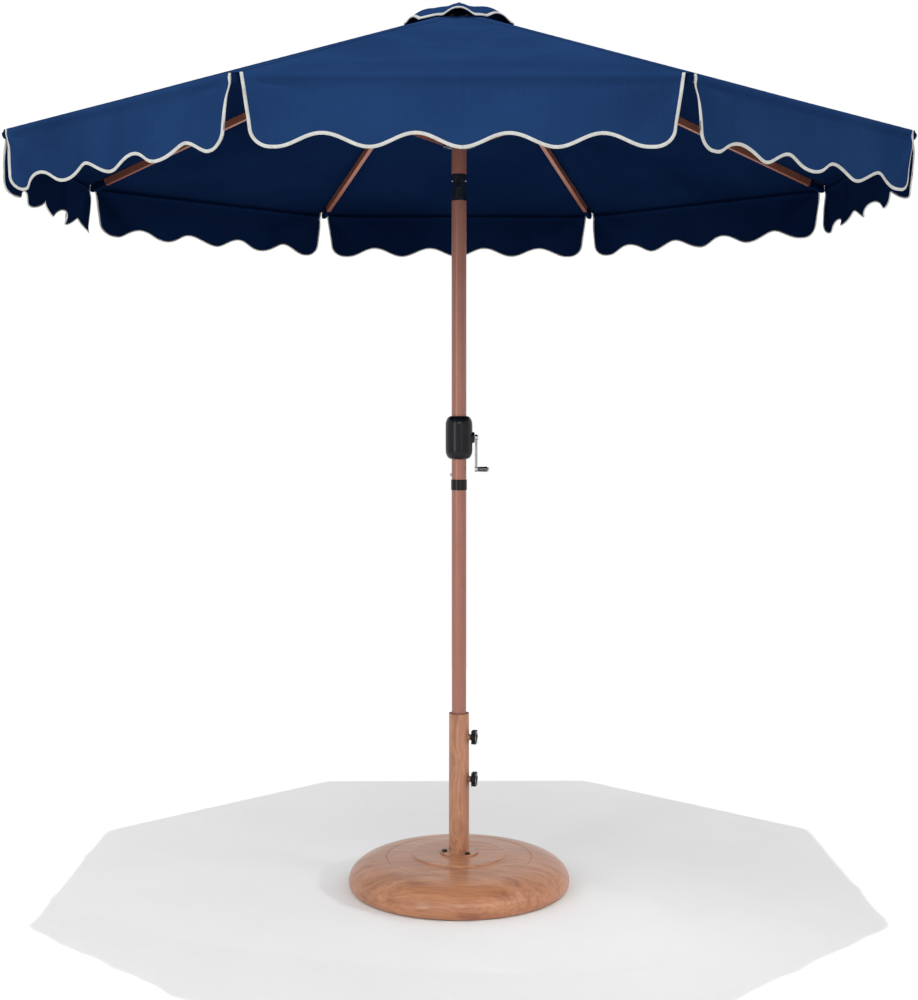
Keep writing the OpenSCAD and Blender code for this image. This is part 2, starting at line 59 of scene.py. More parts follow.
CANOPY_R = 1.118
RIM_Z = 1.8745
RIM_MID = CANOPY_R * math.cos(HALF)
FALL = 0.335
APEX_Z = RIM_Z + FALL * CANOPY_R
TILT = math.atan(FALL / math.cos(HALF))
VENT_MID = 0.1 * math.cos(HALF)
CORNER = RIM_MID * TAN_HALF
HEM_Z = -0.128
HEM_AMP = 0.013
FLAP_DROP = HEM_AMP - HEM_Z
SCALLOP = 0.176
SLIT_TOP = CORNER - 0.010
CLOTH_T = 0.0009


# ---------------------------------------------------------------- materials

def srgb(r, g, b):
    def channel(c):
        c /= 255
        return c / 12.92 if c <= 0.04045 else ((c + 0.055) / 1.055) ** 2.4
    return (channel(r), channel(g), channel(b), 1)


def start_material(name, **values):
    mat = bpy.data.materials.new(name)
    mat.use_nodes = True
    bsdf = mat.node_tree.nodes["Principled BSDF"]
    for key, value in values.items():
        bsdf.inputs[key.replace("_", " ")].default_value = value
    mat.diffuse_color = (0.5, 0.5, 0.5, 1)
    return mat, mat.node_tree, bsdf


def add(nt, kind, inputs=None, **attrs):
    n = nt.nodes.new("ShaderNode" + kind)
    for key, value in attrs.items():
        setattr(n, key, value)
    for key, value in (inputs or {}).items():
        if isinstance(value, bpy.types.NodeSocket):
            nt.links.new(value, n.inputs[key])
        else:
            n.inputs[key].default_value = value
    return n


def ramp(nt, fac, stops):
    n = add(nt, "ValToRGB", {"Fac": fac})
    line = n.color_ramp.elements
    while len(line) < len(stops):
        line.new(0.5)
    for e, (pos, colour) in zip(line, stops):
        e.position = pos
        e.color = colour
    return n.outputs["Color"]


def spread(nt, value, low, high, from_low=0.0, from_high=1.0):
    return add(nt, "MapRange", {"Value": value, "From Min": from_low, "From Max": from_high,
                                "To Min": low, "To Max": high}).outputs["Result"]


def math_node(nt, op, a, b=0.0):
    return add(nt, "Math", {0: a, 1: b}, operation=op).outputs[0]


def coords(nt, scale=(1, 1, 1), turn=(0, 0, 0)):
    tex = add(nt, "TexCoord")
    return add(nt, "Mapping", {"Vector": tex.outputs["Object"], "Scale": scale, "Rotation": turn}).outputs[0]


def fractal(nt, vector, scale, detail=4.0, rough=0.5, warp=0.0):
    return add(nt, "TexNoise", {"Vector": vector, "Scale": scale, "Detail": detail,
                                "Roughness": rough, "Distortion": warp}).outputs["Fac"]


def bump(nt, bsdf, height, strength, distance, base=None):
    inputs = {"Height": height, "Strength": strength, "Distance": distance}
    if base is not None:
        inputs["Normal"] = base
    out = add(nt, "Bump", inputs).outputs["Normal"]
    nt.links.new(out, bsdf.inputs["Normal"])
    return out


def finish(name, dark, light, scale, rough, stretch=(1, 1, 1), grain=700.0, grain_depth=0.00008,
           grain_stretch=(1, 1, 1), **values):
    """Mottled colour between two tones, a fine surface grain, and a roughness that varies with both."""
    mat, nt, bsdf = start_material(name, **values)
    cloud = fractal(nt, coords(nt, stretch), scale, 5.0, 0.6)
    fine = fractal(nt, coords(nt, grain_stretch), grain, 2.0, 0.5)
    nt.links.new(ramp(nt, cloud, [(0.3, dark), (0.7, light)]), bsdf.inputs["Base Color"])
    mixed = math_node(nt, "ADD", math_node(nt, "MULTIPLY", cloud, 0.6), math_node(nt, "MULTIPLY", fine, 0.4))
    nt.links.new(spread(nt, mixed, rough[0], rough[1], 0.3, 0.7), bsdf.inputs["Roughness"])
    bump(nt, bsdf, fine, 0.5, grain_depth)
    return mat


THREAD_PITCH = 0.0011
STITCH_PITCH = 0.0032
STITCH_HALF_WIDTH = 0.0004
SEAM_STITCHES = (0.0062, 0.0022)
RIM_STITCHES = 0.0085


def sine_of(nt, value, pitch):
    return math_node(nt, "SINE", math_node(nt, "MULTIPLY", value, 2 * math.pi / pitch))


def stitch_row(nt, distance, at, along):
    """White where a row of stitches runs, at one distance from a line, dashed along the other way."""
    off = math_node(nt, "ABSOLUTE", math_node(nt, "SUBTRACT", distance, at))
    near = math_node(nt, "LESS_THAN", off, STITCH_HALF_WIDTH)
    dash = math_node(nt, "GREATER_THAN", sine_of(nt, along, STITCH_PITCH), -0.35)
    return math_node(nt, "MULTIPLY", near, dash)


def fabric(name, deep, mid, pale, sheen):
    """Woven canopy cloth. The piece's map is in metres: across from the rib's seam, and up from the rim."""
    mat, nt, bsdf = start_material(name, Specular_IOR_Level=0.0, Sheen_Weight=sheen,
                                   Sheen_Roughness=0.45)
    bsdf.inputs["Sheen Tint"].default_value = srgb(120, 150, 205)
    cut = add(nt, "UVMap", uv_map="cut").outputs["UV"]
    split = add(nt, "SeparateXYZ", {"Vector": cut})
    across, up = split.outputs["X"], split.outputs["Y"]
    weave = math_node(nt, "MULTIPLY", sine_of(nt, across, THREAD_PITCH), sine_of(nt, up, THREAD_PITCH))
    slubs = [fractal(nt, add(nt, "Mapping", {"Vector": cut, "Scale": scale}).outputs[0], 1.0, 2.0)
             for scale in ((9, 700, 1), (700, 9, 1))]
    slub = math_node(nt, "ADD", *slubs)
    cloud = fractal(nt, coords(nt), 2.6, 4.0, 0.55)
    mix = math_node(nt, "ADD", math_node(nt, "MULTIPLY", slub, 0.18), math_node(nt, "MULTIPLY", cloud, 0.64))
    colour = ramp(nt, mix, [(0.36, deep), (0.5, mid), (0.64, pale)])
    # two rows of stitches beside each rib's seam and one over the rim, on the panel only
    any_row = stitch_row(nt, up, RIM_STITCHES, across)
    for at in SEAM_STITCHES:
        any_row = math_node(nt, "MAXIMUM", any_row, stitch_row(nt, across, at, up))
    thread_mask = math_node(nt, "MULTIPLY", any_row, math_node(nt, "GREATER_THAN", up, 0.0))
    stitched = add(nt, "Mix", {0: thread_mask, 6: colour, 7: pale}, data_type="RGBA").outputs[2]
    nt.links.new(stitched, bsdf.inputs["Base Color"])
    nt.links.new(spread(nt, slub, 0.72, 0.92, 0.6, 1.4), bsdf.inputs["Roughness"])
    first = bump(nt, bsdf, weave, 0.12, 0.00006)
    second = bump(nt, bsdf, slub, 0.25, 0.00015, first)
    bump(nt, bsdf, thread_mask, 0.5, 0.0003, second)
    return mat


def wood(name, along, across, turn, tones, rough=(0.34, 0.46)):
    """Wood grain printed on steel under a clear coat; along and across are a streak's length and width."""
    mat, nt, bsdf = start_material(name, Coat_Weight=0.32, Coat_Roughness=0.1, Specular_IOR_Level=0.3)
    place = coords(nt, turn=turn)
    drift = add(nt, "TexNoise", {"Vector": place, "Scale": 3.0, "Detail": 2.0}).outputs["Color"]
    shift = add(nt, "VectorMath", {0: drift, 1: (0.5, 0.5, 0.5)}, operation="SUBTRACT").outputs[0]
    small = add(nt, "VectorMath", {0: shift, "Scale": 0.16}, operation="SCALE").outputs[0]
    bent = add(nt, "VectorMath", {0: place, 1: small}, operation="ADD").outputs[0]

    def streaks(share, detail, roughness):
        scale = (1 / along / share, 1 / across / share, 1 / across / share)
        stretched = add(nt, "Mapping", {"Vector": bent, "Scale": scale}).outputs[0]
        return fractal(nt, stretched, 1.0, detail, roughness)

    broad = streaks(3.2, 3.0, 0.5)
    fibre = streaks(1.0, 6.0, 0.62)
    pore = streaks(0.32, 3.0, 0.55)
    grain = math_node(nt, "ADD", math_node(nt, "MULTIPLY", broad, 0.5), math_node(nt, "MULTIPLY", fibre, 0.5))
    colour = ramp(nt, grain, [(0.34, tones[0]), (0.5, tones[1]), (0.66, tones[2])])
    fleck = spread(nt, pore, 0.32, 0.0, 0.3, 0.42)
    marked = add(nt, "Mix", {0: fleck, 6: colour, 7: tones[0]}, data_type="RGBA").outputs[2]
    nt.links.new(marked, bsdf.inputs["Base Color"])
    nt.links.new(spread(nt, fibre, rough[0], rough[1], 0.3, 0.7), bsdf.inputs["Roughness"])
    bump(nt, bsdf, fibre, 0.1, 0.0001)
    return mat


CLOTH_OUT = fabric("navy_cloth_face", srgb(23, 46, 83), srgb(27, 52, 91), srgb(31, 58, 100), 0.01)
# the cloth's inner face: the same navy cloth painted darker, painted shade for the canopy's shaded underside
CLOTH_PAINTED_SHADE = fabric("navy_cloth_painted_shade", srgb(7, 22, 50), srgb(10, 27, 57), srgb(13, 31, 64), 0.01)
PIPING = finish("binding_tape", srgb(170, 170, 166), srgb(191, 191, 187), 60, (0.7, 0.9), grain=1500,
                grain_depth=0.0001, grain_stretch=(1, 1, 0.35), Sheen_Weight=0.1, Specular_IOR_Level=0.2)
WOOD_LOW = wood("wood_print_base", 0.16, 0.007, (0, 0, math.radians(12)),
                (srgb(138, 88, 62), srgb(167, 113, 81), srgb(187, 133, 98)))
WOOD_TALL = wood("wood_print_stem", 0.2, 0.006, (0, math.radians(86), 0),
                 (srgb(128, 82, 57), srgb(163, 112, 83), srgb(184, 134, 104)))
POLE = finish("mast_paint", srgb(145, 93, 77), srgb(153, 100, 84), 22, (0.38, 0.44), stretch=(3, 3, 0.6),
              grain=60, grain_depth=0.0000012, grain_stretch=(1, 1, 0.02),
              Metallic=0.25, Coat_Weight=0.3, Coat_Roughness=0.24)
RIB = finish("rib_paint", srgb(146, 88, 68), srgb(160, 99, 78), 30, (0.34, 0.44),
             grain=300, grain_depth=0.00001, Metallic=0.35, Coat_Weight=0.15, Coat_Roughness=0.25)
BLACK = finish("moulded_black", srgb(8, 9, 13), srgb(15, 16, 21), 40, (0.28, 0.4), grain=1300,
               grain_depth=0.00004, Specular_IOR_Level=0.14, Coat_Weight=0.22, Coat_Roughness=0.14)
GLOSS_BLACK = finish("gloss_black", srgb(14, 16, 22), srgb(28, 31, 40), 90, (0.14, 0.3), grain=260,
                     grain_depth=0.0002, Specular_IOR_Level=0.6, Coat_Weight=0.5, Coat_Roughness=0.1)
CHROME = finish("polished_steel", srgb(150, 150, 155), srgb(186, 186, 190), 60, (0.1, 0.22), grain=500,
                grain_depth=0.00003, grain_stretch=(0.2, 1, 1), Metallic=1.0)
GRIP = finish("dark_chrome", srgb(70, 71, 76), srgb(118, 118, 124), 70, (0.14, 0.26), grain=300,
              grain_depth=0.00005, Metallic=1.0)
STEEL = finish("zinc_steel", srgb(150, 152, 154), srgb(190, 191, 192), 130, (0.26, 0.44), grain=900,
               grain_depth=0.00006, Metallic=1.0)
BOLT = finish("black_oxide", srgb(24, 22, 22), srgb(46, 40, 38), 150, (0.34, 0.55), grain=900,
              grain_depth=0.0001, Metallic=0.7)
BALLAST = finish("cast_ballast", srgb(92, 90, 88), srgb(134, 131, 127), 34, (0.8, 0.95), grain=240,
                 grain_depth=0.0006)
WHITE = finish("white_nylon", srgb(206, 206, 200), srgb(228, 228, 222), 50, (0.34, 0.5), grain=800,
               grain_depth=0.00006)
ROPE = finish("braided_line", srgb(176, 174, 166), srgb(222, 220, 212), 900, (0.75, 0.9), grain=1600,
              grain_depth=0.0003, grain_stretch=(1, 1, 0.5))

MATERIAL_OF = {
    "base_shell": WOOD_LOW, "base_stem": WOOD_TALL, "base_weight": BALLAST, "base_bolts": BOLT,
    "stem_sleeve": BLACK, "clamp_knob_upper": BLACK, "clamp_knob_lower": BLACK,
    "clamp_stud_upper": STEEL, "clamp_stud_lower": STEEL, "pole_foot_cap": BLACK,
    "lower_pole": POLE, "upper_pole": POLE, "top_pole": POLE, "pole_collar": BLACK,
    "snap_button": CHROME, "housing_front": BLACK, "housing_back": BLACK, "housing_screws": BOLT,
    "cord_spool": WHITE, "brake_spring": STEEL, "crank_arm": CHROME, "crank_grip": GRIP,
    "tilt_yoke": GLOSS_BLACK, "tilt_tongue": GLOSS_BLACK, "tilt_pin": CHROME, "tilt_button": CHROME,
    "tilt_spring": STEEL, "lift_cord_lower": ROPE, "top_hub": BLACK, "hub_pins": STEEL,
    "hub_pulley": WHITE, "runner": BLACK,
}


def islands(mesh):
    """The loose parts of a mesh, as lists of faces."""
    owner = list(range(len(mesh.vertices)))

    def root(i):
        while owner[i] != i:
            owner[i] = owner[owner[i]]
            i = owner[i]
        return i
    # corners in one place count as one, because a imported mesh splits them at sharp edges
    place = {}
    for v in mesh.vertices:
        key = tuple(round(c * 2e5) for c in v.co)
        if key in place:
            owner[root(v.index)] = root(place[key])
        else:
            place[key] = v.index
    for e in mesh.edges:
        owner[root(e.vertices[0])] = root(e.vertices[1])
    parts = {}
    for f in mesh.polygons:
        parts.setdefault(root(f.vertices[0]), []).append(f.index)
    return list(parts.values())


def span(mesh, faces):
    co = np.array([mesh.vertices[v].co for f in faces for v in mesh.polygons[f].vertices])
    return float(np.linalg.norm(co.max(0) - co.min(0)))


def dress(node, mat, second=None):
    """Gives a CAD node its finish. With a second one, only the longest loose part takes the first."""
    mesh = nodes[node].data
    mesh.materials.clear()
    mesh.materials.append(mat)
    for f in mesh.polygons:
        f.material_index = 0
    if second is not None:
        mesh.materials.append(second)
        for part in sorted(islands(mesh), key=lambda p: span(mesh, p))[:-1]:
            for f in part:
                mesh.polygons[f].material_index = 1


for name, mat in MATERIAL_OF.items():
    dress(name, mat)
for k in range(1, SIDES + 1):
    dress(f"rib_{k}", RIB, BLACK)
    dress(f"strut_{k}", RIB, STEEL)


# ---------------------------------------------------------------- cloth

# How much each panel's flap waves, by the panel's number: 45 degrees each from +X
FLAP_WAVE = (0.009, 0.008, 0.007, 0.009, 0.011, 0.007, 0.0035, 0.007)


def ease(x):
    x = min(max(x, 0.0), 1.0)
    return x * x * (3 - 2 * x)


def bell(x, width):
    return math.exp(-(x / width) ** 2)


def panel_lift(p, m, side):
    """How far the sloping panel stands off its flat plane, at m from the axis and side from its middle."""
    s = (m - VENT_MID) / (RIM_MID - VENT_MID)
    v = side / (m * TAN_HALF)
    sag = -0.012 * math.sin(math.pi * min(max(s, 0), 1)) * (1 - v * v)
    ripple = 0.0016 * noise.noise(Vector((m * 5.0, side * 5.0, 7.3 * p))) * (1 - v ** 4)
    pleat = 0.0012 * math.sin(v * 9 + p) * math.exp(-s * 9) * (1 - v * v)
    near_rim = ease((s - 0.55) / 0.4) * (1 - ease((s - 0.93) / 0.07))
    pull = 0.0022 * bell(abs(side) - CORNER * 0.62, 0.07) * near_rim
    return sag + ripple + pleat - pull


def flap_lift(p, side, z):
    """How far the hanging flap stands out from its flat plane; z is 0 at the rim and falls to the hem."""
    depth = min(-z / FLAP_DROP, 1.0)
    wave = FLAP_WAVE[p]
    long_wave = 0.6 * math.sin(2 * math.pi * side / 0.205 + 1.9 * p)
    short_wave = 0.45 * math.sin(2 * math.pi * side / 0.118 + 0.8 * p + 1.1)
    out = wave * depth ** 1.3 * (long_wave + short_wave)
    out += 0.6 * wave * depth * noise.noise(Vector((side * 7.5, z * 5.0, 3.1 * p + 0.5)))
    # soft folds that run in from the two corners, where the rib tips pull the cloth
    for end in (-1, 1):
        reach = CORNER - end * side
        angle = math.atan2(-z, max(reach, 1e-4))
        far = math.hypot(reach, z)
        fold = math.sin(angle * 7.0 + 0.9 * p + end)
        out += 0.009 * fold * bell(far, 0.17) * ease(far / 0.05) * depth ** 0.5
    # the panel rolls over the rim in a small lip, with the flap's seam tucked under it
    lip = 0.0030 * bell(z + 0.006, 0.005) - 0.0036 * bell(z + 0.0165, 0.0042)
    return out + lip * ease((SLIT_TOP - abs(side)) / 0.03) + 0.0012


def frame_of(k, s):
    """Panel number, its outward direction, and the direction from its middle to rib k."""
    azimuth = HALF + 2 * HALF * (k - 1) + s * HALF
    p = round(azimuth / (2 * HALF)) % SIDES
    out = Vector((math.cos(azimuth), math.sin(azimuth), 0))
    toward = Vector((-math.sin(azimuth), math.cos(azimuth), 0)) * -s
    return p, out, toward


def panel_point(k, s, m, w, raised=0.0):
    p, out, toward = frame_of(k, s)
    lift = panel_lift(p, m, -s * w) + raised
    z = APEX_Z - m * math.tan(TILT) + lift * math.cos(TILT)
    return out * (m + lift * math.sin(TILT)) + toward * w + Vector((0, 0, z))


def flap_point(k, s, w, z, raised=0.0):
    p, out, toward = frame_of(k, s)
    return out * (RIM_MID + flap_lift(p, -s * w, z) + raised) + toward * w + Vector((0, 0, RIM_Z + z))


def hem_z(w):
    return HEM_Z - HEM_AMP * math.cos(2 * math.pi * w / SCALLOP)


# The flap's edge from its middle to the slit's foot, as (across, up) points: the scalloped hem with a few
# close points at the middle, where the two halves meet, then the round corner
HEM_ACROSS = [-0.0004, 0.0012, 0.0045] + list(np.arange(0.011, 2 * SCALLOP + 0.001, 0.0089))
HEM = [(w, hem_z(w)) for w in HEM_ACROSS]
CORNER_ARC = [(CORNER - 0.067 + 0.042 * math.cos(a), -0.102 + 0.039 * math.sin(a))
              for a in np.radians([-84, -72, -60, -48, -36, -24, -12, 0])]
SIDE_FOOT = (CORNER - 0.0235, -0.090)
FOOT_LINE = HEM + CORNER_ARC + [SIDE_FOOT]


def top_of(w):
    """Where the thread that ends at w on the flap's edge starts on the rim."""
    return w + (SLIT_TOP - SIDE_FOOT[0]) * ease((w - 0.27) / (SIDE_FOOT[0] - 0.27))


TOP_LINE = [top_of(w) for w, z in FOOT_LINE]
# Rows of the panel, in metres in from the rim, and rows of the flap, as shares of its drop: both are
# close together at the rolled rim
PANEL_ROWS = [0.0, 0.0025, 0.006, 0.0095, 0.015, 0.024] + list(np.linspace(0.042, RIM_MID - VENT_MID, 34))
FLAP_ROWS = [0.014, 0.03, 0.047, 0.064, 0.08, 0.096, 0.112, 0.13, 0.15, 0.175, 0.22,
             0.32, 0.41, 0.5, 0.59, 0.68, 0.77, 0.85, 0.92, 0.97, 1.0]


def new_mesh(name, verts, faces, mats, uvs=None):
    mesh = bpy.data.meshes.new(name)
    mesh.from_pydata([tuple(v) for v in verts], [], faces)
    for m in mats:
        mesh.materials.append(m)
    if uvs is not None:
        layer = mesh.uv_layers.new(name="cut")
        for loop in mesh.loops:
            layer.data[loop.index].uv = uvs[loop.vertex_index]
    mesh.shade_smooth()
    obj = bpy.data.objects.new(name, mesh)
    bpy.context.scene.collection.objects.link(obj)
    return obj


def solidified(obj, thick, inner=1):
    """Gives a sheet its thickness, inward; inner is the slot of the material on its inner face."""
    mod = obj.modifiers.new("Thickness", "SOLIDIFY")
    mod.thickness = thick
    mod.offset = -1
    mod.material_offset = inner
    mod.material_offset_rim = 0
    bpy.context.view_layer.update()
    done = bpy.data.meshes.new_from_object(obj.evaluated_get(bpy.context.evaluated_depsgraph_get()))
    obj.modifiers.clear()
    done.set_sharp_from_angle(angle=math.radians(60))
    old = obj.data
    obj.data = done
    bpy.data.meshes.remove(old)
    return obj


def cloth_piece(k, s):
    """The half panel on side s of rib k and its half flap, one sheet that turns down at the rim."""
    verts, uvs, faces = [], [], []

    def row_of(points):
        first = len(verts)
        for point, uv in points:
            verts.append(point)
            uvs.append(uv)
        return list(range(first, len(verts)))

    def fill(upper, lower):
        for j in range(min(len(upper), len(lower)) - 1):
            quad = (lower[j], lower[j + 1], upper[j + 1], upper[j])
            faces.append(quad if s < 0 else quad[::-1])

    grid = []
    for down in PANEL_ROWS:
        half = (RIM_MID - down) * TAN_HALF
        share = (half - 0.010) / SLIT_TOP
        sides = [w * share for w in TOP_LINE] + [half - d for d in (0.006, 0.003, 0.0)]
        grid.append(row_of([(panel_point(k, s, RIM_MID - down, w), (half - w, down / math.cos(TILT)))
                            for w in sides]))
    for lower, upper in zip(grid, grid[1:]):
        fill(upper, lower)
    last = grid[0][:len(TOP_LINE)]
    for q in FLAP_ROWS:
        row = []
        for (bw, bz), tw in zip(FOOT_LINE, TOP_LINE):
            w, z = tw + (bw - tw) * q, bz * q
            row.append((flap_point(k, s, w, z), (CORNER - w, z)))
        row = row_of(row)
        fill(last, row)
        last = row
    name = f"cloth_{k}{'a' if s < 0 else 'b'}"
    # the outer face takes the navy cloth, the inner face its darker copy, painted shade for the underside
    return solidified(new_mesh(name, verts, faces, [CLOTH_OUT, CLOTH_PAINTED_SHADE], uvs), CLOTH_T)


# Section of the felled seam over a rib: (to one side of the rib, out from the cloth's face)
SEAM = [(-0.0090, 0.0001), (-0.0085, 0.0009), (-0.0042, 0.0010), (-0.0004, 0.0011),
        (0.0004, 0.0011), (0.0042, 0.0010), (0.0085, 0.0009), (0.0090, 0.0001),
        (0.0080, -0.0003), (0.0, -0.0004), (-0.0080, -0.0003)]


def seam_piece(k):
    """The doubled seam along rib k, wider near the vent; it also covers the rib when folded."""
    verts, uvs, faces = [], [], []
    stations = np.linspace(VENT_MID / math.cos(HALF), CANOPY_R - 0.0005, 90)
    for r in stations:
        wide = 1 + 1.7 * ease((0.40 - r) / 0.2)
        for d, raised in SEAM:
            s, off = (-1, -d * wide) if d < 0 else (1, d * wide)
            m = r * math.cos(HALF) + off * math.sin(HALF)
            w = r * math.sin(HALF) - off * math.cos(HALF)
            pucker = 0.00012 * math.sin(r * 2 * math.pi / 0.022) if raised > 0.0005 else 0.0
            verts.append(panel_point(k, s, m, w, raised + pucker))
            uvs.append((abs(d), (CANOPY_R - r) / math.cos(TILT) + 0.012))
    count = len(SEAM)
    for i in range(len(stations) - 1):
        for j in range(count):
            a, b = i * count + j, i * count + (j + 1) % count
            faces.append((a, a + count, b + count, b))
    faces.append(tuple(range(count)))
    faces.append(tuple((len(stations) - 1) * count + j for j in range(count))[::-1])
    return new_mesh(f"seam_{k}", verts, faces, [CLOTH_OUT], uvs)


# Section of the binding tape folded over an edge: (in from the edge, out from the cloth's face)
TAPE = [(0.0061, 0.0003), (0.0057, 0.0010), (0.0037, 0.0014), (0.0016, 0.0014), (0.0001, 0.0009),
        (-0.0007, -0.0004), (-0.0001, -0.0019), (0.0014, -0.0023), (0.0026, -0.0020), (0.0028, -0.0012)]


def smooth_path(points, step):
    """The same line with points a step apart."""
    pts = [Vector((a, b)) for a, b in points]
    lengths = [(b - a).length for a, b in zip(pts, pts[1:])]
    total = sum(lengths)
    count = max(2, round(total / step))
    out, i, run = [], 0, 0.0
    for c in range(count + 1):
        at = total * c / count
        while i < len(lengths) - 1 and run + lengths[i] < at:
            run += lengths[i]
            i += 1
        out.append(pts[i].lerp(pts[i + 1], min(1.0, (at - run) / lengths[i])))
    return out


def ribbon(place, line, section):
    """Sweeps a section along a flat line; place(across, up, out) puts a point where it goes."""
    verts, faces = [], []
    count = len(section)
    for i, p in enumerate(line):
        a, b = line[max(i - 1, 0)], line[min(i + 1, len(line) - 1)]
        along = (b - a).normalized()
        inward = Vector((-along.y, along.x))
        for d, out in section:
            q = p + inward * d
            verts.append(place(q.x, q.y, out))
    for i in range(len(line) - 1):
        for j in range(count):
            a, b = i * count + j, i * count + (j + 1) % count
            faces.append((a, b, b + count, a + count))
    end = (len(line) - 1) * count
    faces.append(tuple(range(count))[::-1])
    faces.append(tuple(range(end, end + count)))
    return verts, faces


def piping_piece(k, s):
    """Cream tape bound over the scalloped hem and slit side of the half flap on side s of rib k."""
    edge = smooth_path(FOOT_LINE + [(SLIT_TOP, -0.0005)], 0.0045)

    def place(w, z, out):
        return flap_point(k, s, max(w, -0.0004), min(z, 0.0), out)

    verts, faces = ribbon(place, edge, TAPE)
    if s > 0:
        faces = [f[::-1] for f in faces]
    return new_mesh(f"piping_{k}{'a' if s < 0 else 'b'}", verts, faces, [PIPING])


# Rib hinge: (distance from the mast's axis, height)
RIB_HINGE = (0.034, 2.226)
RIB_TILT = math.atan(FALL)
RIB_L = (CANOPY_R - RIB_HINGE[0]) / math.cos(RIB_TILT)
# Sleeve sewn over a rib's end: (along the rib back from its tip, half width, below, above)
POCKET = [(0.052, 0.0068, 0.0108, 0.0096), (0.0505, 0.0084, 0.0124, 0.0098), (0.048, 0.0080, 0.0120, 0.0096),
          (0.040, 0.0076, 0.0112, 0.0094), (0.020, 0.0074, 0.0110, 0.0092), (0.008, 0.0072, 0.0108, 0.0090),
          (0.001, 0.0066, 0.0096, 0.0080), (-0.0022, 0.0048, 0.0066, 0.0056), (-0.0036, 0.0016, 0.002, 0.002)]


def pocket_piece(k):
    """The cloth pocket sewn over rib k's tip."""
    azimuth = HALF + 2 * HALF * (k - 1)
    out = Vector((math.cos(azimuth), math.sin(azimuth), 0))
    side = Vector((-math.sin(azimuth), math.cos(azimuth), 0))
    along = out * math.cos(RIB_TILT) - Vector((0, 0, math.sin(RIB_TILT)))
    up = side.cross(along) * -1
    origin = out * RIB_HINGE[0] + Vector((0, 0, RIB_HINGE[1]))
    verts, uvs, faces, around = [], [], [], 24
    for back, half, below, above in POCKET:
        for j in range(around):
            t = 2 * math.pi * j / around
            c, n = math.cos(t), math.sin(t)
            # a box section with round corners
            y = half * math.copysign(abs(c) ** 0.45, c)
            z = math.copysign(abs(n) ** 0.45, n) * (above if n > 0 else below)
            puff = 1 + 0.0032 * math.sin(3 * t + back * 260)
            verts.append(origin + along * (RIB_L - back) + side * (y * puff) + up * (z * puff))
            uvs.append((0.02 + back, 0.02 + j * 0.0018))
    for i in range(len(POCKET) - 1):
        for j in range(around):
            a, b = i * around + j, i * around + (j + 1) % around
            faces.append((a, b, b + around, a + around))
    faces.append(tuple((len(POCKET) - 1) * around + j for j in range(around)))
    # the pocket is all in the darker navy copy, painted shade for the canopy's underside
    return solidified(new_mesh(f"pocket_{k}", verts, faces, [CLOTH_PAINTED_SHADE, CLOTH_PAINTED_SHADE], uvs), 0.0007, 0)


# the area between the rim and the flap's edge
flap_area = sum((b[0] - a[0]) * -(a[1] + b[1]) / 2 for a, b in zip(FOOT_LINE, FOOT_LINE[1:]))
for k in range(1, SIDES + 1):
    trim = [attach(pocket_piece(k), f"rib_{k}"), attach(seam_piece(k), f"rib_{k}")]
    for s in (-1, 1):
        cloth, tape = cloth_piece(k, s), piping_piece(k, s)
        for piece in (cloth, tape):
            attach(piece, f"rib_{k}")
            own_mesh(piece)
        if s < 0:
            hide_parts(f"canopy_{k}")


# ---------------------------------------------------------------- vent cap

CAP_R = 0.147
CAP_LOW = APEX_Z - FALL * CAP_R + 0.006
CAP_TOP = 2.2715
# Each side's arch, by the panel's number: its rise, its middle and half its width, as shares of the side
CAP_ARCH = ((0.010, 0.0, 0.78), (0.007, 0.2, 0.7), (0.014, 0.0, 0.78), (0.006, 0.0, 0.7),
            (0.010, 0.1, 0.7), (0.010, -0.5, 0.45), (0.018, -0.03, 0.72), (0.014, 0.05, 0.78))


def cap_point(angle, share, out=0.0):
    """The cap's surface: angle round the axis, share 0 at the peak to 1 at the edge."""
    p = round(angle / (2 * HALF)) % SIDES
    off = (angle - p * 2 * HALF + math.pi) % (2 * math.pi) - math.pi
    chord = CAP_R * math.cos(HALF) / math.cos(off)
    across = max(-1.0, min(1.0, math.tan(off) / TAN_HALF))
    rise_of, middle, reach = CAP_ARCH[p]
    arch = rise_of * max(0.0, 1 - (abs(across - middle) / reach) ** 2.2) ** 1.5
    rise = CAP_TOP - CAP_LOW
    # a pointed peak, then a full soft shoulder that falls to the held-down corners
    shoulder = 0.195 * max(0.0, math.sin(math.pi * share ** 2.2)) ** 1.3 * (1 - 0.2 * across ** 2)
    profile = 1 - share + shoulder
    z = CAP_LOW + rise * profile + arch * share ** 3
    r = chord * share * (1 + 0.02 * (1 - across ** 2) * share)
    slope = Vector((math.cos(angle) * 0.4, math.sin(angle) * 0.4, 0.92))
    return Vector((r * math.cos(angle), r * math.sin(angle), z)) + slope * out


# Section of the cap's binding: (out past the edge, up from the cloth)
CAP_TAPE = [(-0.0066, 0.0003), (-0.0060, 0.0010), (-0.0030, 0.0013), (-0.0004, 0.0010),
            (0.0009, -0.0004), (0.0004, -0.0018), (-0.0012, -0.0023), (-0.0027, -0.0014)]


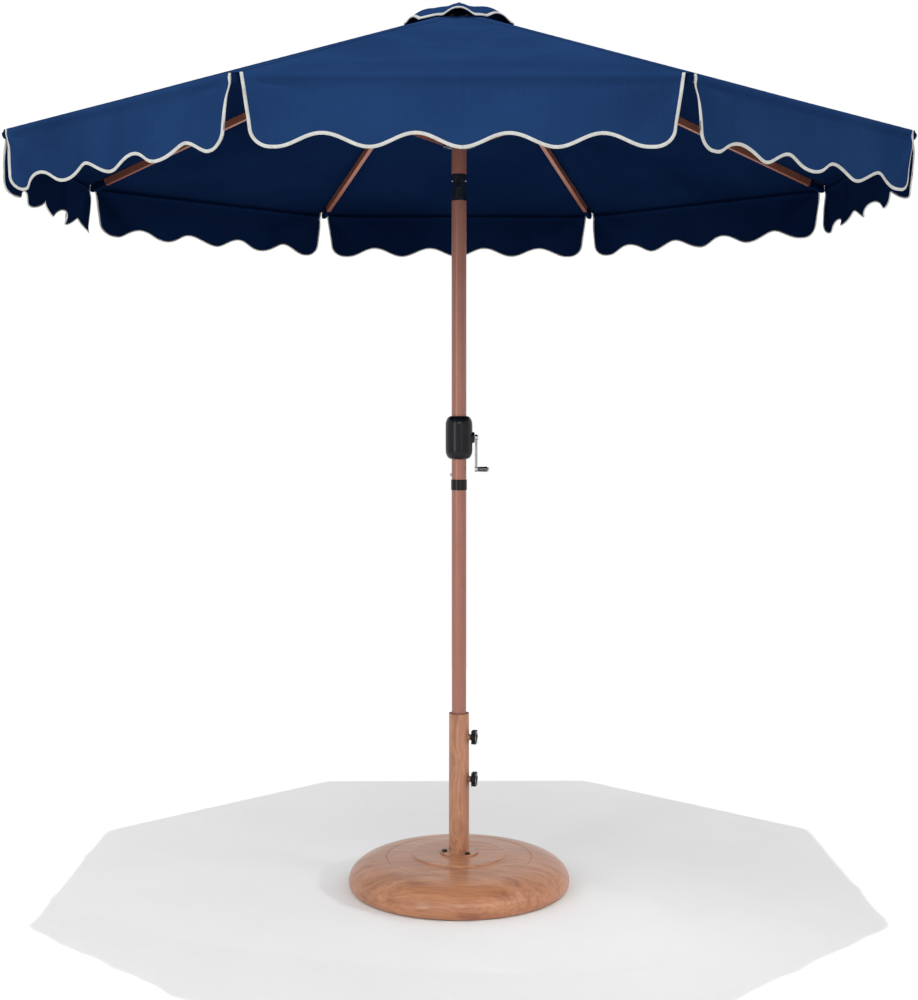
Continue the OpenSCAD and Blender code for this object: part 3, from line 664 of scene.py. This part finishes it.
def vent_cap_piece():
    """The vent cap's cloth and the tape bound round its edge."""
    around, rings = 128, 26
    per_side = around // SIDES
    verts, uvs, faces = [cap_point(0, 0.0)], [(0.1, 0.5)], []
    for i in range(1, rings + 1):
        for a in range(around):
            angle = 2 * math.pi * a / around
            point = cap_point(angle, i / rings)
            verts.append(point)
            from_rib = abs((a + per_side // 2) % per_side - per_side // 2)
            uvs.append((0.02 + from_rib * 0.006 * i / rings, 0.1 + 0.14 * (1 - i / rings)))
    for a in range(around):
        b = (a + 1) % around
        faces.append((0, 1 + a, 1 + b))
        for i in range(rings - 1):
            r0, r1 = 1 + i * around, 1 + (i + 1) * around
            faces.append((r0 + a, r1 + a, r1 + b, r0 + b))
    # the cap's inner face takes the darker navy copy, painted shade for its underside
    cap = solidified(new_mesh("vent_cap_cloth", verts, faces, [CLOTH_OUT, CLOTH_PAINTED_SHADE], uvs), CLOTH_T)
    count, steps = len(CAP_TAPE), 256
    tape_verts, tape_faces = [], []
    for a in range(steps):
        angle = 2 * math.pi * a / steps
        reach = (cap_point(angle, 1.0).xy).length
        for d, out in CAP_TAPE:
            tape_verts.append(cap_point(angle, 1 + d / reach, out))
    for a in range(steps):
        b = (a + 1) % steps
        for j in range(count):
            i = (j + 1) % count
            tape_faces.append((a * count + j, b * count + j, b * count + i, a * count + i))
    return cap, new_mesh("vent_cap_piping", tape_verts, tape_faces, [PIPING])


cap, cap_tape = vent_cap_piece()
for piece in (cap, cap_tape):
    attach(piece, "head")
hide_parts("vent_cap")

# ---------------------------------------------------------------- lift cord

CORD_R = 0.0015
# The sheave's middle and radius: the cord rises on the mast's axis and comes down beyond the sheave
SHEAVE_Y = 0.012
SHEAVE_Z = 2.2
RUNNER_TOP = 1.929
TILT_Z = 1.807


def tube(name, path, mat, radius=CORD_R, reference=(1, 0, 0)):
    """A round line along a path, with two faint strands that cross on its skin."""
    verts, faces = [], []
    sides = 12
    for i, p in enumerate(path):
        a, b = path[max(i - 1, 0)], path[min(i + 1, len(path) - 1)]
        along = (Vector(b) - Vector(a)).normalized()
        one = along.cross(Vector(reference)).normalized()
        two = along.cross(one)
        for j in range(sides):
            t = 2 * math.pi * j / sides
            r = radius * (0.96 + 0.04 * math.cos(3 * t + i * 1.1) * math.cos(3 * t - i * 1.1))
            verts.append(Vector(p) + (one * math.cos(t) + two * math.sin(t)) * r)
    for i in range(len(path) - 1):
        for j in range(sides):
            a, b = i * sides + j, i * sides + (j + 1) % sides
            faces.append((a, b, b + sides, a + sides))
    faces.append(tuple(range(sides))[::-1])
    faces.append(tuple((len(path) - 1) * sides + j for j in range(sides)))
    return new_mesh(name, verts, faces, [mat])


def straight(y, z0, z1, step=0.004):
    count = max(2, round(abs(z1 - z0) / step))
    return [(0, y, z0 + (z1 - z0) * i / count) for i in range(count + 1)]


over = [(0, SHEAVE_Y - SHEAVE_Y * math.cos(a), SHEAVE_Z + SHEAVE_Y * math.sin(a))
        for a in np.linspace(0, math.pi, 15)]
inner_run = tube("lift_cord_run", straight(0, TILT_Z + 0.0005, SHEAVE_Z)[:-1] + over, ROPE)
tail_path = straight(2 * SHEAVE_Y, SHEAVE_Z, RUNNER_TOP)
tail = tube("lift_cord_tail", tail_path, ROPE)
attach(inner_run, "head")
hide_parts("lift_cord_upper")
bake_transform(tail)

# ---------------------------------------------------------------- tilt button's spring

SPRING_R = 0.0046
SPRING_OUTER = -0.0086
SPRING_INNER = -0.00665
SPRING_TURNS = 3.6
SPRING_WIRE_R = 0.00028
spring_path = []
for t in np.linspace(0, SPRING_TURNS, 110):
    turn = 2 * math.pi * t
    y = SPRING_OUTER + (SPRING_INNER - SPRING_OUTER) * t / SPRING_TURNS
    spring_path.append((SPRING_R * math.cos(turn), y, TILT_Z + SPRING_R * math.sin(turn)))
spring = tube("tilt_spring_coil", spring_path, STEEL, SPRING_WIRE_R, (0, 1, 0))
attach(spring, "mast")
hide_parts("tilt_spring")
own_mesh(spring)

# ---------------------------------------------------------------- stage, light and camera

scene = bpy.context.scene
scene.view_settings.view_transform = "Standard"
scene.view_settings.look = "None"

FLOOR_R = 3.4
ring = [(FLOOR_R * math.cos(a), FLOOR_R * math.sin(a), -0.0006)
        for a in np.linspace(0, 2 * math.pi, 97)[:-1]]
floor = new_mesh("floor", ring, [tuple(range(len(ring)))],
                 [finish("studio_floor", srgb(240, 240, 240), srgb(243, 243, 243), 3, (0.8, 0.95), grain=90,
                         grain_depth=0.0002, Specular_IOR_Level=0.1)])

world = bpy.data.worlds.new("studio")
scene.world = world
world.use_nodes = True
wt = world.node_tree
seen = add(wt, "LightPath").outputs["Is Camera Ray"]
white = wt.nodes["Background"]
white.inputs["Color"].default_value = (1, 1, 1, 1)
white.inputs["Strength"].default_value = 1.0
ambient = add(wt, "Background", {"Color": (1, 1, 1, 1), "Strength": 0.9})
both = add(wt, "MixShader", {0: seen, 1: ambient.outputs[0], 2: white.outputs[0]})
wt.links.new(both.outputs[0], wt.nodes["World Output"].inputs["Surface"])


def lamp(name, kind, energy, place, aim, **attrs):
    data = bpy.data.lights.new(name, kind)
    data.energy = energy
    for key, value in attrs.items():
        setattr(data, key, value)
    obj = bpy.data.objects.new(name, data)
    obj.location = place
    obj.rotation_euler = (Vector(aim) - Vector(place)).to_track_quat("-Z", "Y").to_euler()
    obj.visible_camera = False
    scene.collection.objects.link(obj)


lamp("overhead", "SUN", 1.2, (0, -0.3, 5), (0, 0, 0), angle=math.radians(0.5))
lamp("key_left", "AREA", 40, (-2.6, -3.4, 1.9), (0, 0, 1.2), shape="RECTANGLE", size=0.9, size_y=3.0)
lamp("key_right", "AREA", 6, (1.5, -3.6, 1.5), (0, 0, 1.0), shape="RECTANGLE", size=0.5, size_y=2.6)
lamp("glint", "AREA", 0.6, (2.6, -1.4, 1.65), (0.1, -0.25, 0.06), shape="RECTANGLE", size=0.6, size_y=0.12,
     spread=math.radians(25))
lamp("front_fill", "AREA", 42, (0.2, -5.0, 3.4), (0, 0, 1.6), shape="RECTANGLE", size=2.5, size_y=1.5)

camera = bpy.data.objects.new("camera", bpy.data.cameras.new("camera"))
camera.location = (-0.0272, -3.9699, 1.2426)
camera.rotation_euler = (math.radians(90 - 3.343), 0, math.radians(-0.392))
camera.data.lens = 55.58
camera.data.sensor_width = 36
scene.collection.objects.link(camera)
scene.camera = camera
